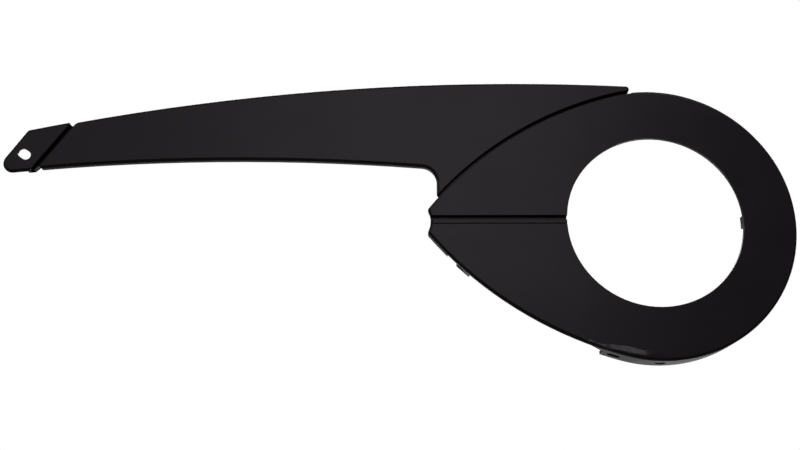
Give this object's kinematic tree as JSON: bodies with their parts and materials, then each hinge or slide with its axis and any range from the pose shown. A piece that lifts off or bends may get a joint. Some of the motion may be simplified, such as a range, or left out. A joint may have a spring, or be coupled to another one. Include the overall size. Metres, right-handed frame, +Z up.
{
  "type": "bicycle chain guard",
  "caption": "Moulded plastic chain guard: a ring round the chainring with a long arm over the upper chain run and a slotted rear fixing tab.",
  "frame": {"origin": "crank axis in the plane of the face: the middle of the round opening, at the face", "axes": "+X forward along the bicycle, from the rear fixing tab to the ring; +Y from the face in to the bicycle, along the crank axis; +Z up, as the guard hangs on the bicycle"},
  "size_m": [0.5829, 0.022, 0.2115],
  "materials": {
    "black_plastic": "satin black injection-moulded plastic"
  },
  "bodies": {
    "root": {"chain_guard": "black_plastic"}
  },
  "joints": []
}
